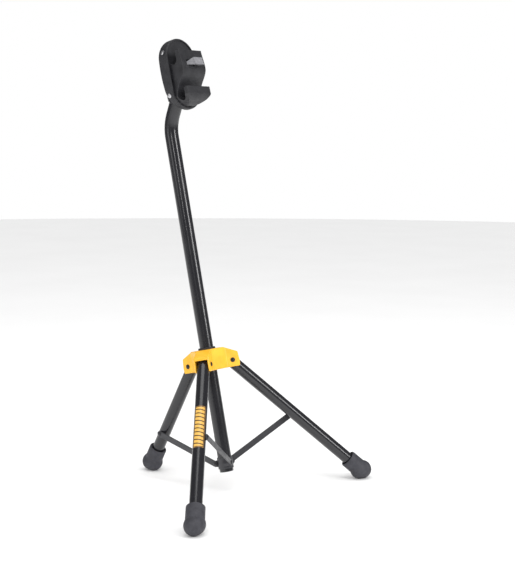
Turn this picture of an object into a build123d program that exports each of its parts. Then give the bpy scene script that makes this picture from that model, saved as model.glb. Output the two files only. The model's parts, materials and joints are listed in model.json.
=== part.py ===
from build123d import *
import os
from math import atan2, cos, degrees, radians, sin

# A folding tripod stand that holds a wind instrument in a cradle at the top of a
# leaning post. All sizes are in millimetres and all angles in degrees.
#
# Frame: the origin is the point on the floor below the middle of the stand's
# bounding box. +Z is up and +X is the way the cradle faces. The post leans
# back, towards -X.
#
# Most pieces are placed from the post's own frame, "post": its origin is where
# the post's axis crosses the plane of the leg pivots, its Z runs up the post and
# its X leans forward. "arm_frame" turns that about the post to one leg, so its X
# runs outwards, its Y sideways and its Z up the post.

# Posture
POST_LEAN = 12.9
YOKE_X = -13.8
YOKE_HEIGHT = 220.2
LEG_SPREAD = 41.6
ARMS = {"right": -60, "left": 60, "rear": 180}

# Tubes
POST_R = 12.2
POST_WALL = 1.5
POST_BOTTOM = -192.6
BEND_START = 409.0
BEND_RADIUS = 64.0
BEND_ANGLE = 34.0
POST_AFTER_BEND = 50.0
LEG_R = 10.9
LEG_WALL = 1.2

# Clearances
RUNNING = 0.05
SNUG = 0.03

# Yoke
ARM_RADIUS = 40.0
CHEEK_INSIDE = 11.3
CHEEK_OUTSIDE = 13.9
PANEL_DISTANCE = 26.6
YOKE_BOTTOM = -12.0
YOKE_TOP = 25.5
ROOF_THICKNESS = 3.0
CHANNEL_START = 25.5
SLEEVE_R = 13.9
FLANGE_R = 15.3
FLANGE_THICKNESS = 3.6
LEG_RIVET_R = 2.5
LEG_RIVET_HEAD_R = 4.2
LEG_RIVET_HEAD_H = 2.2

# Straps and the collar that carries them
STRAP_DOWN_LEG = 154.0
STRAP_WIDTH = 10.6
STRAP_THICKNESS = 2.0
STRAP_INSIDE = 12.3
COLLAR_PIVOT_RADIUS = 12.0
COLLAR_PIVOT_Z = -176.8
COLLAR_R = 13.7
COLLAR_BOTTOM = -187.0
COLLAR_TOP = -167.0
COLLAR_PIN_Z = -172.0
COLLAR_PIN_R = 2.0
COLLAR_PIN_WALL = 0.9
LUG_R = 5.6
LUG_RIVET_START = 7.2
STRAP_RIVET_R = 2.0
STRAP_RIVET_HEAD_R = 4.0
STRAP_RIVET_HEAD_H = 2.1

# Feet
FOOT_R = 16.0
SOLE_CUT = 0.6
BULB_REACH = 20.0
BOOT_TOP = 33.0
BOOT_LIP_R = 15.9
BOOT_WALL_DEPTH = 3.0
LIP_DISH = 2.6
LIP_OPENING = 2.5

# Head
HEAD_X = 46.6
HEAD_Z = 509.6
HEAD_LENGTH = 126.0
HEAD_WIDTH = 72.0
SHELL_DEPTH = 7.0
DOME_DEPTH = 14.0
DOME_Z = 12.0
DOME_R = 230.0
SHELL_WALL = 2.6
FACE_DEPTH = 5.0
RIM_WIDTH = 3.5
CRADLE_WIDTH = 57.0
LATCH_X = 28.0
LATCH_Z = 12.0
LATCH_BARREL_R = 3.5
LATCH_WIDTH = 33.0
LATCH_TIP_WIDTH = 21.0
LATCH_PIN_R = 1.5
LATCH_PIN_HALF = 22.0

post = Plane(
    origin=(YOKE_X, 0, YOKE_HEIGHT),
    x_dir=(cos(radians(POST_LEAN)), 0, sin(radians(POST_LEAN))),
    z_dir=(-sin(radians(POST_LEAN)), 0, cos(radians(POST_LEAN))),
)


def moved(frame, x=0, y=0, z=0, turn=(0, 0, 0)):
    """The frame shifted, and then turned, in its own axes."""
    return Plane(frame.location * Location((x, y, z), turn))


def side_plane(frame, y=0):
    """Sketch plane whose X and Y are the frame's X and Z."""
    return Plane(origin=moved(frame, y=y).origin, x_dir=frame.x_dir, z_dir=-frame.y_dir)


def face_plane(frame, x=0):
    """Sketch plane whose X and Y are the frame's Y and Z."""
    return Plane(origin=moved(frame, x=x).origin, x_dir=frame.y_dir, z_dir=frame.x_dir)


def arm_frame(name):
    """The post's frame turned so that X points out along one leg."""
    return moved(post, turn=(0, 0, ARMS[name]))


def leg_frame(name):
    """Origin at the leg's pivot, Z up along the leg, Y along the pivot."""
    return moved(arm_frame(name), x=ARM_RADIUS, turn=(0, -LEG_SPREAD, 0))


def leg_length(name):
    """Pivot to the centre of the foot, so that the foot rests on the floor."""
    forward = cos(radians(ARMS[name])) * sin(radians(POST_LEAN))
    upright = cos(radians(POST_LEAN))
    drop = YOKE_HEIGHT - FOOT_R + ARM_RADIUS * forward
    per_length = cos(radians(LEG_SPREAD)) * upright - sin(radians(LEG_SPREAD)) * forward
    return drop / per_length


def write(piece, name):
    """Name a finished piece and write its STEP file."""
    piece.part.label = name
    export_step(piece.part, f"parts/{name}.step")


os.makedirs("parts", exist_ok=True)

# ---------------------------------------------------------------- post
bend_rise = BEND_RADIUS * sin(radians(BEND_ANGLE)) / (1 + cos(radians(BEND_ANGLE)))
corner_z = BEND_START + bend_rise
past_corner = bend_rise + POST_AFTER_BEND
top_x = past_corner * sin(radians(BEND_ANGLE))
top_z = corner_z + past_corner * cos(radians(BEND_ANGLE))
head = moved(post, x=HEAD_X, z=HEAD_Z)
socket = moved(post, x=top_x, z=top_z, turn=(0, BEND_ANGLE, 0))
SOCKET_BOLT_Z = -17.0
SOCKET_BOLT_R = 2.5

with BuildPart() as post_tube:
    with BuildLine(side_plane(post)):
        FilletPolyline((0, POST_BOTTOM), (0, corner_z), (top_x, top_z), radius=BEND_RADIUS)
    with BuildSketch(moved(post, z=POST_BOTTOM)):
        Circle(POST_R)
        Circle(POST_R - POST_WALL, mode=Mode.SUBTRACT)
    sweep()
    with BuildSketch(side_plane(moved(socket, z=SOCKET_BOLT_Z))):
        Circle(SOCKET_BOLT_R + SNUG)
    extrude(amount=POST_R + 1, both=True, mode=Mode.SUBTRACT)
    with BuildSketch(face_plane(moved(post, z=COLLAR_PIN_Z))):
        Circle(COLLAR_PIN_R + SNUG)
    extrude(amount=POST_R + 1, mode=Mode.SUBTRACT)
write(post_tube, "post_tube")

# ---------------------------------------------------------------- yoke
# An arm's side view: the top slopes down outwards and the end is cut steeply.
ROOF = [(25.8, YOKE_TOP), (51.5, 13.8), (53.2, -3.0), (52.0, YOKE_BOTTOM)]
FAR = 70.0

with BuildPart() as yoke:
    with BuildSketch(moved(post, z=YOKE_BOTTOM)):
        for azimuth in ARMS.values():
            with Locations(Location((0, 0, 0), (0, 0, azimuth))):
                Rectangle(FAR, 2 * CHEEK_OUTSIDE, align=(Align.MIN, Align.CENTER))
        RegularPolygon(PANEL_DISTANCE, 3, major_radius=False, rotation=60)
    extrude(amount=YOKE_TOP - YOKE_BOTTOM)
    for name in ARMS:
        with BuildSketch(side_plane(arm_frame(name))):
            Polygon(
                *ROOF,
                (ROOF[-1][0], YOKE_BOTTOM - 2),
                (FAR + 5, YOKE_BOTTOM - 2),
                (FAR + 5, YOKE_TOP + 2),
                (ROOF[0][0], YOKE_TOP + 2),
                align=None,
            )
        extrude(amount=PANEL_DISTANCE, both=True, mode=Mode.SUBTRACT)
    outer_edges = yoke.edges().filter_by(lambda e: e.length > 4)
    chamfer(outer_edges.filter_by(GeomType.LINE), length=1.1)
    for name in ARMS:
        with BuildSketch(side_plane(arm_frame(name))):
            Polygon(
                (CHANNEL_START, YOKE_BOTTOM - 1),
                (CHANNEL_START, YOKE_TOP - ROOF_THICKNESS - 2),
                (ROOF[0][0], YOKE_TOP - ROOF_THICKNESS - 2),
                (ROOF[1][0], ROOF[1][1] - ROOF_THICKNESS - 2),
                (FAR, ROOF[1][1] - ROOF_THICKNESS - 2),
                (FAR, YOKE_BOTTOM - 1),
                align=None,
            )
        extrude(amount=CHEEK_INSIDE, both=True, mode=Mode.SUBTRACT)
        with BuildSketch(side_plane(moved(arm_frame(name), x=ARM_RADIUS))):
            Circle(LEG_RIVET_R + SNUG)
        extrude(amount=CHEEK_OUTSIDE + 1, both=True, mode=Mode.SUBTRACT)
    with BuildSketch(moved(post, z=YOKE_BOTTOM - 1)):
        Circle(SLEEVE_R + SNUG)
    extrude(amount=YOKE_TOP - YOKE_BOTTOM + 2, mode=Mode.SUBTRACT)
write(yoke, "yoke")

with BuildPart() as yoke_bushing:
    with BuildSketch(moved(post, z=YOKE_BOTTOM)):
        Circle(SLEEVE_R)
    extrude(amount=YOKE_TOP - YOKE_BOTTOM)
    with BuildSketch(moved(post, z=YOKE_TOP)):
        Circle(FLANGE_R)
    extrude(amount=FLANGE_THICKNESS)
    rim = yoke_bushing.edges().filter_by(GeomType.CIRCLE).group_by(SortBy.RADIUS)[-1]
    fillet(rim.sort_by(Axis.Z)[-1], 1.2)
    with BuildSketch(moved(post, z=YOKE_BOTTOM - 1)):
        Circle(POST_R + RUNNING)
    extrude(amount=YOKE_TOP - YOKE_BOTTOM + FLANGE_THICKNESS + 2, mode=Mode.SUBTRACT)
write(yoke_bushing, "yoke_bushing")


def cap_arc(rim_r, rim_z, height):
    """Draw the side view of a spherical cap, from its rim up to its axis."""
    radius = (rim_r**2 + height**2) / (2 * height)
    centre_z = rim_z + height - radius
    start = degrees(atan2(rim_z - centre_z, rim_r))
    CenterArc((0, centre_z), radius, start, 90 - start)


def domed_rivet(plane, shank_r, start, end, head_r, head_h, tail_head=False):
    """Add a rivet along a plane's normal, with a domed head at its end."""
    with BuildSketch(plane.offset(start)) as shank:
        Circle(shank_r)
    extrude(shank.sketch, amount=end - start)
    heads = [plane.offset(end)]
    if tail_head:
        under = plane.offset(start)
        heads.append(Plane(origin=under.origin, x_dir=under.x_dir, z_dir=-under.z_dir))
    for seat in heads:
        half = Plane(origin=seat.origin, x_dir=seat.x_dir, z_dir=-seat.y_dir)
        with BuildSketch(half) as dome:
            with BuildLine():
                Line((0, 0), (head_r, 0))
                Line((head_r, 0), (head_r, 0.3 * head_h))
                cap_arc(head_r, 0.3 * head_h, 0.7 * head_h)
                Line((0, head_h), (0, 0))
            make_face()
        revolve(dome.sketch, axis=Axis(seat.origin, seat.z_dir))


def across(frame):
    """Plane whose normal is the frame's Y, for pins that run sideways."""
    return Plane(origin=frame.origin, x_dir=frame.x_dir, z_dir=frame.y_dir)


with BuildPart() as leg_rivets:
    for name in ARMS:
        domed_rivet(
            across(moved(arm_frame(name), x=ARM_RADIUS)),
            LEG_RIVET_R,
            -CHEEK_OUTSIDE - SNUG,
            CHEEK_OUTSIDE + SNUG,
            LEG_RIVET_HEAD_R,
            LEG_RIVET_HEAD_H,
            tail_head=True,
        )
write(leg_rivets, "leg_rivets")

# ---------------------------------------------------------------- lower collar
with BuildPart() as lower_collar:
    with BuildSketch(moved(post, z=COLLAR_BOTTOM)):
        Circle(COLLAR_R)
    extrude(amount=COLLAR_TOP - COLLAR_BOTTOM)
    for name in ARMS:
        lug = moved(arm_frame(name), x=COLLAR_PIVOT_RADIUS, z=COLLAR_PIVOT_Z)
        with BuildSketch(side_plane(lug)):
            with BuildLine():
                Line((-COLLAR_PIVOT_RADIUS, LUG_R), (0, LUG_R))
                ThreePointArc((0, LUG_R), (LUG_R, 0), (0, -LUG_R))
                Line((0, -LUG_R), (-COLLAR_PIVOT_RADIUS, -LUG_R))
                Line((-COLLAR_PIVOT_RADIUS, -LUG_R), (-COLLAR_PIVOT_RADIUS, LUG_R))
            make_face()
        extrude(amount=-(STRAP_INSIDE - RUNNING))
        with BuildSketch(across(moved(lug, y=LUG_RIVET_START - 0.2))):
            Circle(STRAP_RIVET_R + SNUG)
        extrude(amount=STRAP_INSIDE, mode=Mode.SUBTRACT)
    with BuildSketch(moved(post, z=COLLAR_BOTTOM - 1)):
        Circle(POST_R + SNUG)
    extrude(amount=COLLAR_TOP - COLLAR_BOTTOM + 2, mode=Mode.SUBTRACT)
    with BuildSketch(face_plane(moved(post, z=COLLAR_PIN_Z))):
        Circle(COLLAR_PIN_R + SNUG)
    extrude(amount=COLLAR_R + 2, mode=Mode.SUBTRACT)
write(lower_collar, "lower_collar")

with BuildPart() as collar_pin:
    with BuildSketch(face_plane(moved(post, z=COLLAR_PIN_Z), x=POST_R - POST_WALL - 1)):
        Circle(COLLAR_PIN_R)
        Circle(COLLAR_PIN_R - COLLAR_PIN_WALL, mode=Mode.SUBTRACT)
    extrude(amount=COLLAR_R - POST_R + POST_WALL + 1.4)
write(collar_pin, "collar_roll_pin")

with BuildPart() as collar_rivets:
    for name in ARMS:
        domed_rivet(
            across(moved(arm_frame(name), x=COLLAR_PIVOT_RADIUS, z=COLLAR_PIVOT_Z)),
            STRAP_RIVET_R,
            LUG_RIVET_START,
            STRAP_INSIDE + STRAP_THICKNESS + RUNNING,
            STRAP_RIVET_HEAD_R,
            STRAP_RIVET_HEAD_H,
        )
write(collar_rivets, "collar_rivets")

# ---------------------------------------------------------------- straps
strap_out = ARM_RADIUS + STRAP_DOWN_LEG * sin(radians(LEG_SPREAD))
strap_up = -STRAP_DOWN_LEG * cos(radians(LEG_SPREAD))
strap_run = Vector(strap_out - COLLAR_PIVOT_RADIUS, strap_up - COLLAR_PIVOT_Z)
strap_length = strap_run.length
strap_slope = strap_run.get_signed_angle(Vector(1, 0), Vector(0, 0, -1))

for name in ARMS:
    inner = moved(arm_frame(name), x=COLLAR_PIVOT_RADIUS, z=COLLAR_PIVOT_Z, turn=(0, -strap_slope, 0))
    outer = moved(inner, x=strap_length)
    middle = moved(inner, x=strap_length / 2, y=STRAP_INSIDE)
    with BuildPart() as strap:
        with BuildSketch(across(middle)):
            SlotCenterToCenter(strap_length, STRAP_WIDTH)
        extrude(amount=STRAP_THICKNESS)
        fillet(strap.faces().sort_by(Axis(middle.origin, middle.y_dir))[-1].edges(), 0.5)
        for end in (inner, outer):
            with BuildSketch(across(end)):
                Circle(STRAP_RIVET_R + RUNNING)
            extrude(amount=STRAP_INSIDE + 2 * STRAP_THICKNESS, mode=Mode.SUBTRACT)
    write(strap, f"strap_{name}")

    with BuildPart() as strap_rivet:
        domed_rivet(
            across(outer),
            STRAP_RIVET_R,
            LEG_R + 0.1,
            STRAP_INSIDE + STRAP_THICKNESS + RUNNING,
            STRAP_RIVET_HEAD_R,
            STRAP_RIVET_HEAD_H,
        )
    write(strap_rivet, f"strap_rivet_{name}")

    with BuildPart() as strap_washer:
        with BuildSketch(across(outer).offset(LEG_R + 0.1)):
            Circle(STRAP_WIDTH / 2 - 0.4)
            Circle(STRAP_RIVET_R + SNUG, mode=Mode.SUBTRACT)
        extrude(amount=STRAP_INSIDE - LEG_R - 0.1 - SNUG)
    write(strap_washer, f"strap_washer_{name}")

# ---------------------------------------------------------------- legs and feet
PLUG_Z = 5.0
PLUG_CAP = 6.5
PLUG_DEPTH = 18.0

for name in ARMS:
    leg = leg_frame(name)
    foot_z = -leg_length(name)
    tube_end = foot_z + BOOT_WALL_DEPTH
    with BuildPart() as leg_tube:
        with BuildSketch(moved(leg, z=tube_end)):
            Circle(LEG_R)
            Circle(LEG_R - LEG_WALL, mode=Mode.SUBTRACT)
        extrude(amount=PLUG_Z - tube_end)
        with BuildSketch(side_plane(leg)):
            Circle(LEG_RIVET_R + RUNNING)
        extrude(amount=LEG_R + 1, both=True, mode=Mode.SUBTRACT)
    write(leg_tube, f"leg_{name}")

    with BuildPart() as leg_plug:
        with BuildSketch(side_plane(moved(leg, z=PLUG_Z))):
            with BuildLine():
                insert_r = LEG_R - LEG_WALL - SNUG
                Line((0, -PLUG_DEPTH), (insert_r, -PLUG_DEPTH))
                Line((insert_r, -PLUG_DEPTH), (insert_r, SNUG))
                Line((insert_r, SNUG), (LEG_R, SNUG))
                cap_arc(LEG_R, SNUG, PLUG_CAP)
                Line((0, SNUG + PLUG_CAP), (0, -PLUG_DEPTH))
            make_face()
        revolve(axis=Axis(leg.origin, leg.z_dir))
        with BuildSketch(side_plane(leg)):
            Circle(LEG_RIVET_R + RUNNING)
        extrude(amount=LEG_R + 1, both=True, mode=Mode.SUBTRACT)
    write(leg_plug, f"leg_plug_{name}")

    # A rubber boot: a dished lip round the tube, and an oblong bulb, longest
    # away from the post, that ends in a small flat sole.
    ball = moved(leg, z=foot_z)
    outward = Vector(leg.x_dir.X, leg.x_dir.Y, 0).normalized()
    level = Plane(origin=ball.origin, x_dir=outward, z_dir=(0, 0, 1))
    with BuildPart() as boot:
        with BuildSketch(side_plane(ball)):
            with BuildLine():
                Line((0, 0), (FOOT_R, 0))
                Line((FOOT_R, 0), (BOOT_LIP_R, BOOT_TOP - 2))
                ThreePointArc(
                    (BOOT_LIP_R, BOOT_TOP - 2),
                    (BOOT_LIP_R - 0.6, BOOT_TOP - 0.6),
                    (BOOT_LIP_R - 2, BOOT_TOP),
                )
                Line((BOOT_LIP_R - 2, BOOT_TOP), (0, BOOT_TOP))
                Line((0, BOOT_TOP), (0, 0))
            make_face()
        revolve(axis=Axis(ball.origin, ball.z_dir))
        with BuildSketch(level):
            SlotOverall(2 * BULB_REACH, 2 * (FOOT_R + SOLE_CUT))
            Rectangle(3 * BULB_REACH, 3 * FOOT_R, align=(Align.CENTER, Align.MAX), mode=Mode.SUBTRACT)
        revolve(axis=Axis(ball.origin, outward))
        with BuildSketch(moved(ball, z=BOOT_WALL_DEPTH - SNUG)):
            Circle(LEG_R + SNUG)
        extrude(amount=BOOT_TOP, mode=Mode.SUBTRACT)
        with BuildSketch(moved(ball, z=BOOT_TOP - LIP_DISH)):
            Circle(LEG_R + LIP_OPENING)
        extrude(amount=BOOT_TOP, mode=Mode.SUBTRACT)
        with BuildSketch(Plane(origin=(ball.origin.X, ball.origin.Y, 0))):
            Circle(2 * BULB_REACH)
        extrude(amount=-FOOT_R, mode=Mode.SUBTRACT)
    write(boot, f"foot_{name}")

# ---------------------------------------------------------------- head shells
SIDE_SCREW_Z = 38.0
SIDE_SCREW_X = -2.3
SIDE_SCREW_R = 1.4
TAB_BACK = -4.25
SOCKET_LENGTH = 27.0
SOCKET_R = 15.2
SOCKET_MOUTH = -SOCKET_LENGTH
CRADLE_SCREWS = [(-13, 2), (13, 2), (-13, -20), (13, -20)]
CRADLE_SCREW_R = 1.75

end_centre = (HEAD_LENGTH - HEAD_WIDTH) / 2
end_r = HEAD_WIDTH / 2
screw_rise = (SIDE_SCREW_Z - end_centre) / end_r
screw_out = (1 - screw_rise**2) ** 0.5


def screw_seat(side, up):
    """Plane on the shells' side wall, facing out, at one of the side screws."""
    at = moved(head, x=SIDE_SCREW_X, y=side * end_r * screw_out, z=up * SIDE_SCREW_Z)
    outward = head.y_dir * (side * screw_out) + head.z_dir * (up * screw_rise)
    return Plane(origin=at.origin, x_dir=head.x_dir, z_dir=outward)


screw_seats = [screw_seat(side, up) for side in (-1, 1) for up in (-1, 1)]

dome_centre = moved(head, x=DOME_R - DOME_DEPTH, z=DOME_Z)


def domed_slot(inset):
    """Fill the head's outline, inset all round, from its domed back to its face plane."""
    with BuildSketch(face_plane(head, x=-DOME_DEPTH)) as outline:
        SlotOverall(HEAD_LENGTH - 2 * inset, HEAD_WIDTH - 2 * inset, rotation=90)
    extrude(outline.sketch, amount=DOME_DEPTH)
    with BuildSketch(side_plane(dome_centre)) as dome:
        Circle(DOME_R - inset)
    extrude(dome.sketch, amount=HEAD_WIDTH, both=True, mode=Mode.INTERSECT)


with BuildPart() as back_hollow:
    domed_slot(SHELL_WALL)

with BuildPart() as back_shell:
    domed_slot(0)
    fillet(back_shell.faces().sort_by(Axis(head.origin, head.x_dir))[0].edges(), 1.2)
    add(back_hollow.part, mode=Mode.SUBTRACT)
    with BuildSketch(moved(socket, z=SOCKET_MOUTH)):
        Circle(SOCKET_R)
    extrude(amount=SOCKET_LENGTH)
    round_edges = back_shell.edges().filter_by(GeomType.CIRCLE)
    mouth = round_edges.filter_by(lambda e: abs(e.radius - SOCKET_R) < 0.01)
    fillet(mouth.sort_by(Axis(socket.origin, socket.z_dir))[0], 1.5)
    with BuildSketch(side_plane(moved(socket, z=SOCKET_BOLT_Z))):
        SlotOverall(16, 11, rotation=0)
    extrude(amount=SOCKET_R + 2, both=True)
    with BuildSketch(side_plane(head)):
        with BuildLine():
            Polyline((-22, -24), (-6, 26), (-6, -24), (-22, -24))
        make_face()
    extrude(amount=1.6, both=True)
    with BuildSketch(face_plane(head)):
        Rectangle(HEAD_WIDTH, HEAD_LENGTH)
    extrude(amount=SOCKET_R, mode=Mode.SUBTRACT)
    with BuildSketch(moved(socket, z=SOCKET_MOUTH - 1)):
        Circle(POST_R + SNUG)
    extrude(amount=SOCKET_LENGTH + 1.1, mode=Mode.SUBTRACT)
    with BuildSketch(side_plane(moved(socket, z=SOCKET_BOLT_Z))):
        Circle(SOCKET_BOLT_R + SNUG)
    extrude(amount=SOCKET_R + 5, both=True, mode=Mode.SUBTRACT)
    for seat in screw_seats:
        with BuildSketch(seat.offset(-SHELL_WALL - 1)):
            Circle(SIDE_SCREW_R + SNUG)
        extrude(amount=SHELL_WALL + 3, mode=Mode.SUBTRACT)
write(back_shell, "head_back_shell")

with BuildPart() as front_shell:
    with BuildSketch(face_plane(head)):
        SlotOverall(HEAD_LENGTH, HEAD_WIDTH, rotation=90)
    extrude(amount=SHELL_DEPTH)
    fillet(front_shell.faces().sort_by(Axis(head.origin, head.x_dir))[-1].edges(), 2.2)
    with BuildSketch(face_plane(head, x=FACE_DEPTH)):
        SlotOverall(HEAD_LENGTH - 2 * RIM_WIDTH, HEAD_WIDTH - 2 * RIM_WIDTH, rotation=90)
    extrude(amount=SHELL_DEPTH, mode=Mode.SUBTRACT)
    with BuildSketch(face_plane(head)):
        SlotOverall(HEAD_LENGTH - 2 * SHELL_WALL, HEAD_WIDTH - 2 * SHELL_WALL, rotation=90)
    extrude(amount=FACE_DEPTH - SHELL_WALL, mode=Mode.SUBTRACT)
    for seat in screw_seats:
        tab = seat.offset(-SHELL_WALL - 0.45)
        with BuildSketch(Plane(origin=tab.origin, x_dir=tab.x_dir, z_dir=-tab.z_dir)):
            Rectangle(FACE_DEPTH - 1 - SIDE_SCREW_X, 8, align=(Align.MIN, Align.CENTER))
            Rectangle(SIDE_SCREW_X - TAB_BACK, 8, align=(Align.MAX, Align.CENTER))
        extrude(amount=4)
    with BuildSketch(face_plane(head, x=SHELL_DEPTH)):
        Rectangle(HEAD_WIDTH, HEAD_LENGTH)
    extrude(amount=SHELL_DEPTH, mode=Mode.SUBTRACT)
    for seat in screw_seats:
        with BuildSketch(seat.offset(-SHELL_WALL - 5)):
            Circle(SIDE_SCREW_R + SNUG)
        extrude(amount=SHELL_WALL + 5, mode=Mode.SUBTRACT)
    with BuildSketch(face_plane(head)):
        with Locations(*CRADLE_SCREWS):
            Circle(CRADLE_SCREW_R + SNUG)
    extrude(amount=SHELL_DEPTH, mode=Mode.SUBTRACT)
write(front_shell, "head_front_shell")

with BuildPart() as side_screws:
    for seat in screw_seats:
        domed_rivet(seat, SIDE_SCREW_R, -SHELL_WALL - 4.4, 0.35, 4.0, 1.9)
        with BuildSketch(seat.offset(1.4)):
            Rectangle(4.6, 0.9)
            Rectangle(0.9, 4.6)
        extrude(amount=2, mode=Mode.SUBTRACT)
write(side_screws, "head_side_screws")

# ---------------------------------------------------------------- cradle
# Side view of the cradle in the head's X and Z. Two troughs run across it: the
# upper one lies between the face and the jaw, the lower one between the jaw's
# root and the lip.
TROUGH_BACK = FACE_DEPTH
UPPER_FRONT = 21.7
UPPER_FLOOR = (13.4, 12.5)
LOWER_CENTRE = (19.6, -41.6)
LOWER_R = 8.8
LOWER_BACK = LOWER_CENTRE[0] - LOWER_R
LIP_INSIDE = LOWER_CENTRE[0] + LOWER_R
JAW = [(30.3, 36), (33.8, 14), (34.2, 0), (22.8, -18), (15.0, -30), (LOWER_BACK, LOWER_CENTRE[1])]

with BuildPart() as cradle:
    with BuildSketch(side_plane(head)):
        with BuildLine():
            Line((TROUGH_BACK, -58), (TROUGH_BACK, 16.5))
            ThreePointArc((TROUGH_BACK, 16.5), UPPER_FLOOR, (UPPER_FRONT, 21))
            Line((UPPER_FRONT, 21), (UPPER_FRONT, 36))
            Line((UPPER_FRONT, 36), JAW[0])
            Spline(*JAW)
            CenterArc(LOWER_CENTRE, LOWER_R, 180, 180)
            Line((LIP_INSIDE, LOWER_CENTRE[1]), (LIP_INSIDE, -29))
            Line((LIP_INSIDE, -29), (36.8, -29.4))
            Line((36.8, -29.4), (37.6, -42))
            ThreePointArc((37.6, -42), (34, -48.5), (26, -54))
            ThreePointArc((26, -54), (15, -58.4), (TROUGH_BACK, -58))
        make_face()
    extrude(amount=CRADLE_WIDTH / 2, both=True)
    ends = cradle.faces().filter_by(lambda f: abs(f.normal_at().dot(head.y_dir)) > 0.9)
    lower_edges = ends.edges().filter_by(
        lambda e: head.to_local_coords(e.center()).X > TROUGH_BACK + 1
        and head.to_local_coords(e.center()).Z < 2
    )
    fillet(lower_edges, 1.2)
    with BuildSketch(face_plane(head)):
        SlotOverall(
            HEAD_LENGTH - 2 * RIM_WIDTH - 2 * SNUG,
            HEAD_WIDTH - 2 * RIM_WIDTH - 2 * SNUG,
            rotation=90,
        )
    extrude(amount=HEAD_WIDTH, mode=Mode.INTERSECT)
    with BuildSketch(side_plane(head)):
        with Locations((LATCH_X, LATCH_Z)):
            Circle(LATCH_BARREL_R + 0.6)
        Polygon((27, 7.4), (40, 7.4), (40, 17.6), (29, 17.6), (25.5, 14.5), align=None)
    extrude(amount=LATCH_WIDTH / 2 + 0.4, both=True, mode=Mode.SUBTRACT)
    with BuildSketch(side_plane(moved(head, x=LATCH_X, z=LATCH_Z))):
        Circle(LATCH_PIN_R + SNUG)
    extrude(amount=LATCH_PIN_HALF + 0.5, both=True, mode=Mode.SUBTRACT)
    with BuildSketch(face_plane(head)):
        with Locations(*CRADLE_SCREWS):
            Circle(CRADLE_SCREW_R + SNUG)
    extrude(amount=12.2, mode=Mode.SUBTRACT)
write(cradle, "cradle")

with BuildPart() as cradle_screws:
    for y, z in CRADLE_SCREWS:
        seat = moved(head, x=FACE_DEPTH - SHELL_WALL - 1.8, y=y, z=z)
        with BuildSketch(face_plane(seat)):
            Circle(3.4)
        extrude(amount=1.75)
        with BuildSketch(face_plane(seat)):
            Circle(CRADLE_SCREW_R)
        extrude(amount=11)
        with BuildSketch(face_plane(seat)):
            Rectangle(3.6, 0.8)
            Rectangle(0.8, 3.6)
        extrude(amount=1, mode=Mode.SUBTRACT)
write(cradle_screws, "cradle_screws")

# ---------------------------------------------------------------- latch
latch_hinge = moved(head, x=LATCH_X, z=LATCH_Z)
with BuildPart() as latch:
    with BuildSketch(side_plane(head)):
        Polygon((28, 9.4), (34, 8.4), (48.9, 6.0), (46.2, 19.0), (35, 14.2), (28, 14.4), align=None)
        with Locations((LATCH_X, LATCH_Z)):
            Circle(LATCH_BARREL_R)
    extrude(amount=LATCH_WIDTH / 2, both=True)
    with BuildSketch(head):
        Polygon(
            (20, -LATCH_WIDTH / 2),
            (34, -LATCH_WIDTH / 2),
            (46, -LATCH_TIP_WIDTH / 2),
            (55, -LATCH_TIP_WIDTH / 2),
            (55, LATCH_TIP_WIDTH / 2),
            (46, LATCH_TIP_WIDTH / 2),
            (34, LATCH_WIDTH / 2),
            (20, LATCH_WIDTH / 2),
            align=None,
        )
    extrude(amount=30, mode=Mode.INTERSECT)
    with BuildSketch(side_plane(latch_hinge)):
        Circle(LATCH_PIN_R + RUNNING)
    extrude(amount=LATCH_WIDTH, both=True, mode=Mode.SUBTRACT)
    with BuildSketch(side_plane(latch_hinge, y=LATCH_WIDTH)):
        Circle(LATCH_BARREL_R + 0.4)
    extrude(amount=LATCH_WIDTH - 2.6, mode=Mode.SUBTRACT)
write(latch, "latch_lever")

with BuildPart() as latch_pin:
    with BuildSketch(side_plane(latch_hinge)):
        Circle(LATCH_PIN_R)
    extrude(amount=LATCH_PIN_HALF, both=True)
write(latch_pin, "latch_pin")

with BuildPart() as latch_spring:
    coil = across(moved(latch_hinge, y=3.3))
    with BuildLine() as coil_path:
        Helix(pitch=1.0, height=2.0, radius=2.5, center=coil.origin, direction=coil.z_dir)
    with BuildSketch(Plane(origin=coil_path.line @ 0, z_dir=coil_path.line % 0)):
        Circle(0.4)
    sweep(is_frenet=True)
write(latch_spring, "latch_spring")

# ---------------------------------------------------------------- socket bolt
bolt_line = across(moved(socket, z=SOCKET_BOLT_Z))
with BuildPart() as socket_bolt:
    domed_rivet(bolt_line, SOCKET_BOLT_R, -SOCKET_R - 7.6, SOCKET_R + 2.03, 4.6, 2.8)
    with BuildSketch(bolt_line.offset(SOCKET_R + 3.3)):
        RegularPolygon(1.7, 6)
    extrude(amount=3, mode=Mode.SUBTRACT)
write(socket_bolt, "socket_bolt")

with BuildPart() as socket_nut:
    with BuildSketch(bolt_line.offset(-SOCKET_R - 6.1)):
        RegularPolygon(4.0, 6, major_radius=False)
        Circle(SOCKET_BOLT_R + SNUG, mode=Mode.SUBTRACT)
    extrude(amount=4)
write(socket_nut, "socket_nut")
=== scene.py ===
import json
import math

import bmesh
import bpy
from mathutils import Matrix, Vector


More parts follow.
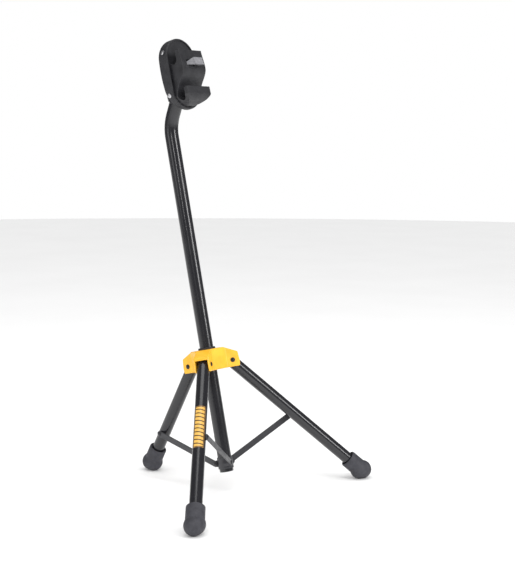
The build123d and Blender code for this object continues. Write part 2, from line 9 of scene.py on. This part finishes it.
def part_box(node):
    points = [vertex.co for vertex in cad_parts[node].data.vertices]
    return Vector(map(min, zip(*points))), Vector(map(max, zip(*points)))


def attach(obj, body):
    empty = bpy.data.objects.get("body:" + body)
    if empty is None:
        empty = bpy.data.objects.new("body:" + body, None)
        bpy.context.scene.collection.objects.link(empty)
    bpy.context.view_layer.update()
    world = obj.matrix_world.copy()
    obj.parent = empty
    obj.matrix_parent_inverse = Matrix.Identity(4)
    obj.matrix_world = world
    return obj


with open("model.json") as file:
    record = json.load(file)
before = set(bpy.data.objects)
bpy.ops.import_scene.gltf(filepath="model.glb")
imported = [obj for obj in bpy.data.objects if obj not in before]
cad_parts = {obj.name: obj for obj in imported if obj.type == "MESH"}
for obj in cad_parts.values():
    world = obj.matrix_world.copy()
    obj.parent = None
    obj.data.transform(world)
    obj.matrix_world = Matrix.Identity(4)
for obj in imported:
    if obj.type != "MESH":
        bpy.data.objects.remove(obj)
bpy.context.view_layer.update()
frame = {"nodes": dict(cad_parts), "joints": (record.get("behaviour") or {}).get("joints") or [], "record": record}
NODES = frame["nodes"]
JOINTS = {joint["name"]: joint for joint in frame["joints"]}

MM = 0.001
WHITE = (1.0, 1.0, 1.0, 1.0)


# ---------------------------------------------------------------- shader helper
COAT_ROUGHNESS = 0.12
BEVEL_SAMPLES = 4
# Cosine between the rounded and the true surface direction. The edge mask starts at the first value and is full at
# the second. It gives worn edges, and on the black plastic a painted highlight.
EDGE_MASK_STARTS = 0.99
EDGE_MASK_FULL = 0.86


class Shader:
    """One material, with short calls that add nodes to it and link them."""

    def __init__(self, name, color, roughness, metallic=0.0, coat=0.0, specular=0.5):
        self.material = bpy.data.materials.new(name)
        self.material.use_nodes = True
        self.tree = self.material.node_tree
        self.surface = self.tree.nodes["Principled BSDF"]
        self.surface.inputs["Base Color"].default_value = (*color, 1.0)
        self.surface.inputs["Roughness"].default_value = roughness
        self.surface.inputs["Metallic"].default_value = metallic
        self.surface.inputs["Specular IOR Level"].default_value = specular
        self.surface.inputs["Coat Weight"].default_value = coat
        self.surface.inputs["Coat Roughness"].default_value = COAT_ROUGHNESS
        self.where = self.tree.nodes.new("ShaderNodeTexCoord").outputs["Object"]

    def feed(self, socket, value):
        """Link a socket to another node's output, or set it to a plain value."""
        if isinstance(value, bpy.types.NodeSocket):
            self.tree.links.new(value, socket)
        elif isinstance(value, tuple):
            socket.default_value = (*value, 1.0)
        else:
            socket.default_value = value

    def add(self, kind, **inputs):
        node = self.tree.nodes.new(kind)
        for key, value in inputs.items():
            self.feed(node.inputs[key.replace("_", " ")], value)
        return node

    def noise(self, per_metre, detail=4.0, rough=0.55):
        """Soft noise between 0 and 1, mostly between 0.3 and 0.7."""
        node = self.add("ShaderNodeTexNoise", Vector=self.where, Scale=per_metre)
        node.inputs["Detail"].default_value = detail
        node.inputs["Roughness"].default_value = rough
        return node.outputs["Fac"]

    def cells(self, per_metre):
        """Distance to the nearest of many scattered points, for a pebbled grain."""
        node = self.add("ShaderNodeTexVoronoi", Vector=self.where, Scale=per_metre)
        return node.outputs["Distance"]

    def span(self, value, low, high, to_low, to_high):
        """The value with low to high mapped to to_low to to_high, and held there beyond."""
        node = self.add("ShaderNodeMapRange", Value=value)
        node.inputs["From Min"].default_value = low
        node.inputs["From Max"].default_value = high
        node.inputs["To Min"].default_value = to_low
        node.inputs["To Max"].default_value = to_high
        return node.outputs["Result"]

    def math(self, operation, first, second):
        node = self.tree.nodes.new("ShaderNodeMath")
        node.operation = operation
        self.feed(node.inputs[0], first)
        self.feed(node.inputs[1], second)
        return node.outputs["Value"]

    def mix(self, factor, first, second):
        """The first colour at factor 0 and the second at factor 1."""
        node = self.tree.nodes.new("ShaderNodeMix")
        node.data_type = "RGBA"
        factor_socket, first_color, second_color = node.inputs[0], node.inputs[6], node.inputs[7]
        self.feed(factor_socket, factor)
        self.feed(first_color, first)
        self.feed(second_color, second)
        return node.outputs[2]

    def set(self, name, value):
        self.tree.links.new(value, self.surface.inputs[name])

    def rounded_normal(self, radius):
        node = self.add("ShaderNodeBevel", Radius=radius)
        node.samples = BEVEL_SAMPLES
        return node.outputs["Normal"]

    def relief(self, height, depth, strength=1.0, edge=0.4 * MM):
        """Bump from a height, over edges that look rounded by "edge" metres."""
        rounded = self.rounded_normal(edge)
        bump = self.add("ShaderNodeBump", Height=height, Strength=strength, Distance=depth, Normal=rounded)
        self.set("Normal", bump.outputs["Normal"])

    def edges(self, radius):
        """1 on edges and 0 elsewhere. The edges are worn by handling, except on the black plastic, where they are
        a painted highlight.
        """
        rounded = self.rounded_normal(radius)
        flat = self.add("ShaderNodeNewGeometry").outputs["Normal"]
        node = self.tree.nodes.new("ShaderNodeVectorMath")
        node.operation = "DOT_PRODUCT"
        self.feed(node.inputs[0], rounded)
        self.feed(node.inputs[1], flat)
        return self.span(node.outputs["Value"], EDGE_MASK_STARTS, EDGE_MASK_FULL, 0.0, 1.0)


# ---------------------------------------------------------------- materials
def gloss_tube():
    """Glossy powder coat with a faint orange peel."""
    black = (0.011, 0.011, 0.014)
    finish = Shader("black_powder_coat", black, 0.22, coat=0.35)
    finish.set("Roughness", finish.span(finish.noise(14, 3), 0.3, 0.7, 0.19, 0.30))
    finish.relief(finish.noise(900, 2), 0.02 * MM, 0.25)
    return finish.material


def satin_steel():
    """Satin black steel, a little brighter where its edges are rubbed."""
    black, edge_wear_and_painted_highlight = (0.035, 0.035, 0.04), (0.16, 0.16, 0.165)
    finish = Shader("satin_black_steel", black, 0.38, coat=0.1)
    patches = finish.span(finish.noise(240, 4), 0.5, 0.72, 0.0, 0.8)
    wear = finish.math("MULTIPLY", finish.edges(0.5 * MM), patches)
    finish.set("Base Color", finish.mix(wear, black, edge_wear_and_painted_highlight))
    finish.set("Roughness", finish.span(finish.noise(90, 4), 0.3, 0.7, 0.3, 0.46))
    finish.relief(finish.noise(1100, 3), 0.03 * MM, 0.4, 0.35 * MM)
    return finish.material


def black_rivet():
    black = (0.02, 0.02, 0.024)
    finish = Shader("black_rivet_head", black, 0.3, coat=0.2)
    finish.set("Roughness", finish.span(finish.noise(500, 3), 0.3, 0.7, 0.22, 0.4))
    finish.relief(finish.noise(1500, 3), 0.03 * MM, 0.4)
    return finish.material


def plated_steel():
    """Bright zinc plating with a mottled tone."""
    bright, dull, light = (0.62, 0.62, 0.64), (0.5, 0.5, 0.52), (0.72, 0.72, 0.73)
    finish = Shader("zinc_plated_steel", bright, 0.28, metallic=1.0)
    tone = finish.span(finish.noise(700, 4), 0.3, 0.7, 0.0, 1.0)
    finish.set("Base Color", finish.mix(tone, dull, light))
    finish.set("Roughness", finish.span(finish.noise(900, 3), 0.3, 0.7, 0.2, 0.42))
    finish.relief(finish.noise(2600, 2), 0.02 * MM, 0.5, 0.25 * MM)
    return finish.material


def dark_steel():
    black = (0.03, 0.03, 0.034)
    finish = Shader("black_oxide_steel", black, 0.4, metallic=0.6)
    finish.set("Roughness", finish.span(finish.noise(600, 3), 0.3, 0.7, 0.32, 0.5))
    finish.relief(finish.noise(1800, 3), 0.03 * MM, 0.5)
    return finish.material


def yellow_paint():
    """Satin paint over a casting, thinner on its edges."""
    deep, light, thin = (0.86, 0.42, 0.018), (0.95, 0.52, 0.03), (0.98, 0.72, 0.22)
    finish = Shader("satin_yellow_casting", light, 0.4, coat=0.12)
    tone = finish.span(finish.noise(35, 4), 0.35, 0.65, 0.0, 1.0)
    patches = finish.span(finish.noise(420, 5), 0.56, 0.7, 0.0, 0.6)
    worn = finish.math("MULTIPLY", finish.edges(0.6 * MM), patches)
    finish.set("Base Color", finish.mix(worn, finish.mix(tone, deep, light), thin))
    finish.set("Roughness", finish.span(finish.noise(160, 4), 0.3, 0.7, 0.34, 0.48))
    finish.relief(finish.noise(800, 4), 0.05 * MM, 0.5, 0.9 * MM)
    return finish.material


def black_plastic():
    """Moulded plastic with a fine pebbled grain, and paler edges that are a painted highlight."""
    dark, light, pale = (0.012, 0.012, 0.015), (0.022, 0.022, 0.026), (0.07, 0.07, 0.078)
    finish = Shader("moulded_black_plastic", dark, 0.5)
    tone = finish.span(finish.noise(60, 4), 0.35, 0.65, 0.0, 1.0)
    # Painted highlight: every edge is evenly paler, standing in for light caught on the edges.
    edge_wear_and_painted_highlight = finish.math("MULTIPLY", finish.edges(0.5 * MM), 0.35)
    finish.set("Base Color", finish.mix(edge_wear_and_painted_highlight, finish.mix(tone, dark, light), pale))
    finish.set("Roughness", finish.span(finish.noise(220, 3), 0.3, 0.7, 0.44, 0.6))
    pebbles = finish.math("MULTIPLY", finish.cells(2400), 0.5)
    grain = finish.math("ADD", finish.noise(1500, 3), pebbles)
    finish.relief(grain, 0.05 * MM, 0.6, 0.6 * MM)
    return finish.material


def grey_plastic():
    """Coarse-grained grey plastic of the thumb latch."""
    dark, light = (0.17, 0.17, 0.185), (0.23, 0.23, 0.245)
    finish = Shader("textured_grey_plastic", light, 0.55)
    tone = finish.span(finish.noise(300, 4), 0.35, 0.65, 0.0, 1.0)
    finish.set("Base Color", finish.mix(tone, dark, light))
    finish.set("Roughness", finish.span(finish.noise(500, 3), 0.3, 0.7, 0.46, 0.62))
    grain = finish.math("ADD", finish.noise(1700, 4), finish.cells(2000))
    finish.relief(grain, 0.10 * MM, 0.8, 0.6 * MM)
    return finish.material


def boot_rubber():
    """Matt rubber, scuffed paler along its edges."""
    dark, light, scuffed = (0.034, 0.034, 0.042), (0.052, 0.052, 0.062), (0.11, 0.11, 0.12)
    finish = Shader("dark_grey_rubber", dark, 0.6, specular=0.4)
    tone = finish.span(finish.noise(90, 5), 0.35, 0.65, 0.0, 1.0)
    patches = finish.span(finish.noise(380, 5), 0.45, 0.7, 0.0, 0.7)
    scuff = finish.math("MULTIPLY", finish.edges(0.8 * MM), patches)
    finish.set("Base Color", finish.mix(scuff, finish.mix(tone, dark, light), scuffed))
    finish.set("Roughness", finish.span(finish.noise(260, 4), 0.3, 0.7, 0.5, 0.72))
    finish.relief(finish.noise(1100, 4), 0.07 * MM, 0.6, 1.6 * MM)
    return finish.material


FINISHES = {
    "black_tube": gloss_tube(),
    "black_steel": satin_steel(),
    "black_rivet": black_rivet(),
    "bright_steel": plated_steel(),
    "dark_steel": dark_steel(),
    "yellow_casting": yellow_paint(),
    "black_plastic": black_plastic(),
    "grey_plastic": grey_plastic(),
    "boot_rubber": boot_rubber(),
}

for part in frame["record"]["subparts"]:
    for material_slot in NODES[part["node"]].material_slots:
        material_slot.material = FINISHES[part["material_slot"]]


# ---------------------------------------------------------------- leg band
# A printed band wrapped part of the way round one front leg: slanted amber bars
# inside an amber border, on a dark ground. Distances along it start at the leg's
# pivot, and angles round the leg start at its outer face.
LEG_RADIUS = 10.9 * MM
BAND_LIFT = 0.12 * MM
BAND_UNDERSIDE = BAND_LIFT / 4
BAND_FROM = 95 * MM
BAND_TO = 179 * MM
BAND_LEFT = math.radians(-66)
BAND_RIGHT = math.radians(46)
BAND_CORNER = 3.5 * MM
BAND_ROWS = 84
BAND_COLUMNS = 28

# The print. Distances are in from the band's edge. Bar sizes are shares of the
# pitch from one bar to the next.
PRINT_CORNER = 2.0 * MM
PRINT_BLUR = 0.15 * MM
BORDER_STARTS = 0.3 * MM
BORDER_ENDS = 1.3 * MM
BARS_START = 2.3 * MM
BARS_FULL = 2.5 * MM
BAR_COUNT = 11
BAR_SLANT = 0.18
BAR_GAP = 0.115
BAR_EDGE = 0.15


def leg_axes(name):
    """Pivot, direction down the leg and direction out of its outer face, at rest."""
    hinge = JOINTS[f"leg_{name}_hinge"]
    pivot = Vector(hinge["pos_m"])
    across = Vector(hinge["axis"]).normalized()
    low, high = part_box(f"leg_{name}")
    toward = (low + high) / 2 - pivot
    down = (toward - across * toward.dot(across)).normalized()
    outer = across.cross(down)
    if outer.z < 0:
        outer.negate()
    return pivot, down, outer


def corner_inset(distance, corner):
    """How far a rounded end pulls the band's sides in, at a distance from the end."""
    if distance >= corner:
        return 0.0
    return corner - math.sqrt(corner ** 2 - (corner - distance) ** 2)


def band_mesh(name, pivot, down, outer):
    """The band as a thin closed shell, with half its width and its length."""
    side = down.cross(outer)
    length = BAND_TO - BAND_FROM
    middle = (BAND_LEFT + BAND_RIGHT) / 2
    half_width = (BAND_RIGHT - BAND_LEFT) / 2 * LEG_RADIUS
    mesh = bmesh.new()
    uv = mesh.loops.layers.uv.new("band")
    places = {}

    def point(along, across, radius):
        angle = middle + across / LEG_RADIUS
        out = outer * math.cos(angle) + side * math.sin(angle)
        vertex = mesh.verts.new(pivot + down * (BAND_FROM + along) + out * radius)
        places[vertex] = (across, along)
        return vertex

    def sheet(radius):
        """Rows of points, closer together towards the band's rounded ends."""
        rows = []
        for row in range(BAND_ROWS + 1):
            turn = math.pi * row / BAND_ROWS
            along = length * (1 - math.cos(turn)) / 2
            reach = half_width - corner_inset(min(along, length - along), BAND_CORNER)
            steps = range(BAND_COLUMNS + 1)
            rows.append([point(along, reach * (2 * k / BAND_COLUMNS - 1), radius) for k in steps])
        return rows

    def rim(rows):
        """The points round a sheet's outline, in order."""
        right = [row[-1] for row in rows[1:]]
        end = rows[-1][-2::-1]
        left = [row[0] for row in rows[-2:0:-1]]
        return rows[0] + right + end + left

    top = sheet(LEG_RADIUS + BAND_LIFT)
    under = sheet(LEG_RADIUS + BAND_UNDERSIDE)
    for row in range(BAND_ROWS):
        for k in range(BAND_COLUMNS):
            mesh.faces.new((top[row][k], top[row][k + 1], top[row + 1][k + 1], top[row + 1][k]))
            mesh.faces.new((under[row][k], under[row + 1][k], under[row + 1][k + 1], under[row][k + 1]))
    rim_top, rim_under = rim(top), rim(under)
    for k in range(len(rim_top)):
        follow = (k + 1) % len(rim_top)
        mesh.faces.new((rim_top[follow], rim_top[k], rim_under[k], rim_under[follow]))
    bmesh.ops.recalc_face_normals(mesh, faces=mesh.faces)
    for face in mesh.faces:
        face.smooth = True
        for loop in face.loops:
            loop[uv].uv = places[loop.vert]
    data = bpy.data.meshes.new(name)
    mesh.to_mesh(data)
    mesh.free()
    return data, half_width, length


def band_finish(half_width, length):
    """Amber print on a dark glossy film, slightly broken up by wear."""
    ground, border_color = (0.014, 0.012, 0.012), (0.42, 0.22, 0.06)
    amber, gold = (0.50, 0.245, 0.06), (0.80, 0.47, 0.09)
    finish = Shader("printed_leg_band", ground, 0.32, coat=0.3)
    uv = finish.tree.nodes.new("ShaderNodeUVMap")
    uv.uv_map = "band"
    parts = finish.add("ShaderNodeSeparateXYZ", Vector=uv.outputs["UV"])
    across, along = parts.outputs["X"], parts.outputs["Y"]

    from_side = finish.math("SUBTRACT", half_width, finish.math("ABSOLUTE", across, 0))
    centred = finish.math("SUBTRACT", along, length / 2)
    from_end = finish.math("SUBTRACT", length / 2, finish.math("ABSOLUTE", centred, 0))
    inset = finish.math("SMOOTH_MIN", from_side, from_end)
    inset.node.inputs[2].default_value = PRINT_CORNER
    outside = finish.span(inset, BORDER_STARTS, BORDER_STARTS + PRINT_BLUR, 0.0, 1.0)
    inside = finish.span(inset, BORDER_ENDS - PRINT_BLUR, BORDER_ENDS, 1.0, 0.0)
    border = finish.math("MULTIPLY", outside, inside)

    pitch = length / BAR_COUNT
    slant = finish.math("ADD", along, finish.math("MULTIPLY", across, BAR_SLANT))
    place = finish.math("PINGPONG", slant, pitch / 2)
    bars = finish.span(place, BAR_GAP * pitch, BAR_EDGE * pitch, 0.0, 1.0)
    field = finish.span(inset, BARS_START, BARS_FULL, 0.0, 1.0)
    wear = finish.span(finish.noise(700, 4), 0.62, 0.72, 1.0, 0.75)
    ink = finish.math("MULTIPLY", finish.math("MULTIPLY", bars, field), wear)

    tone = finish.mix(finish.span(across, -half_width, half_width, 0.0, 1.0), amber, gold)
    with_border = finish.mix(border, ground, border_color)
    finish.set("Base Color", finish.mix(ink, with_border, finish.mix(0.6, tone, gold)))
    finish.set("Roughness", finish.span(finish.noise(500, 3), 0.3, 0.7, 0.28, 0.42))
    finish.relief(ink, 0.03 * MM, 0.5)
    return finish.material


band_data, band_half_width, band_length = band_mesh("leg_band", *leg_axes("right"))
band = bpy.data.objects.new("leg_band", band_data)
bpy.context.scene.collection.objects.link(band)
band.data.materials.append(band_finish(band_half_width, band_length))
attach(band, "leg_right")


# ---------------------------------------------------------------- stage
FLOOR_RADIUS = 7.0
FLOOR_SIDES = 96
# How bright the world is to the camera and as soft fill, and how bright it shows
# in gloss, where a white world would wash out the black tubes.
WORLD_LEVEL = 1.0
WORLD_IN_GLOSS = 0.16


def floor_finish():
    pale, paler = (0.89, 0.89, 0.89), (0.91, 0.91, 0.91)
    finish = Shader("pale_floor", pale, 0.7, specular=0.15)
    tone = finish.span(finish.noise(3, 3), 0.3, 0.7, 0.0, 1.0)
    finish.set("Base Color", finish.mix(tone, pale, paler))
    return finish.material


def studio_floor():
    """A wide disc under the soles."""
    mesh = bmesh.new()
    bmesh.ops.create_circle(mesh, cap_ends=True, radius=FLOOR_RADIUS, segments=FLOOR_SIDES)
    data = bpy.data.meshes.new("floor")
    mesh.to_mesh(data)
    mesh.free()
    floor = bpy.data.objects.new("floor", data)
    bpy.context.scene.collection.objects.link(floor)
    floor.data.materials.append(floor_finish())


def softbox(name, place, aim, width, height, watts):
    """A rectangular lamp at a place, turned to face a point."""
    light = bpy.data.lights.new(name, "AREA")
    light.shape = "RECTANGLE"
    light.size = width
    light.size_y = height
    light.energy = watts
    lamp = bpy.data.objects.new(name, light)
    lamp.location = place
    lamp.rotation_euler = (Vector(aim) - Vector(place)).to_track_quat("-Z", "Y").to_euler()
    bpy.context.scene.collection.objects.link(lamp)


def studio_world():
    """White to the camera and as soft fill, but dim where it would show in gloss."""
    world = bpy.data.worlds.new("studio")
    world.use_nodes = True
    tree = world.node_tree
    background = tree.nodes["Background"]
    path = tree.nodes.new("ShaderNodeLightPath")
    level = tree.nodes.new("ShaderNodeMapRange")
    level.inputs["To Min"].default_value = WORLD_LEVEL
    level.inputs["To Max"].default_value = WORLD_IN_GLOSS
    tree.links.new(path.outputs["Is Glossy Ray"], level.inputs["Value"])
    tree.links.new(level.outputs["Result"], background.inputs["Strength"])
    background.inputs["Color"].default_value = WHITE
    bpy.context.scene.world = world


studio_floor()
softbox("key_right", (2.3, 0.55, 1.5), (0, 0, 0.4), width=0.5, height=1.5, watts=26)
softbox("strip_front", (1.5, -2.3, 1.9), (0, 0, 0.35), width=0.22, height=1.6, watts=14)
softbox("fill_left", (-0.9, -2.4, 1.3), (0, 0, 0.4), width=1.2, height=1.4, watts=9)
softbox("top", (0.0, 0.0, 2.6), (0, 0, 0), width=1.4, height=1.4, watts=14)
studio_world()
bpy.context.scene.view_settings.view_transform = "Standard"


# ---------------------------------------------------------------- camera
# Where the camera stands, the way it looks and its roll, in metres and the
# part's own frame. The lens and its sensor are in millimetres.
EYE = Vector((1.4591, -1.5490, 0.6244))
LOOK = Vector((-0.6546, 0.7457, -0.1244))
ROLL = math.radians(0.29)
FOCAL_LENGTH = 76.6
SENSOR_WIDTH = 36
FAR_CLIP = 50

lens = bpy.data.cameras.new("camera")
lens.sensor_width = SENSOR_WIDTH
lens.lens = FOCAL_LENGTH
lens.clip_end = FAR_CLIP
camera = bpy.data.objects.new("camera", lens)
facing = LOOK.to_track_quat("-Z", "Y").to_matrix() @ Matrix.Rotation(ROLL, 3, "Z")
camera.matrix_world = Matrix.Translation(EYE) @ facing.to_4x4()
bpy.context.scene.collection.objects.link(camera)
bpy.context.scene.camera = camera
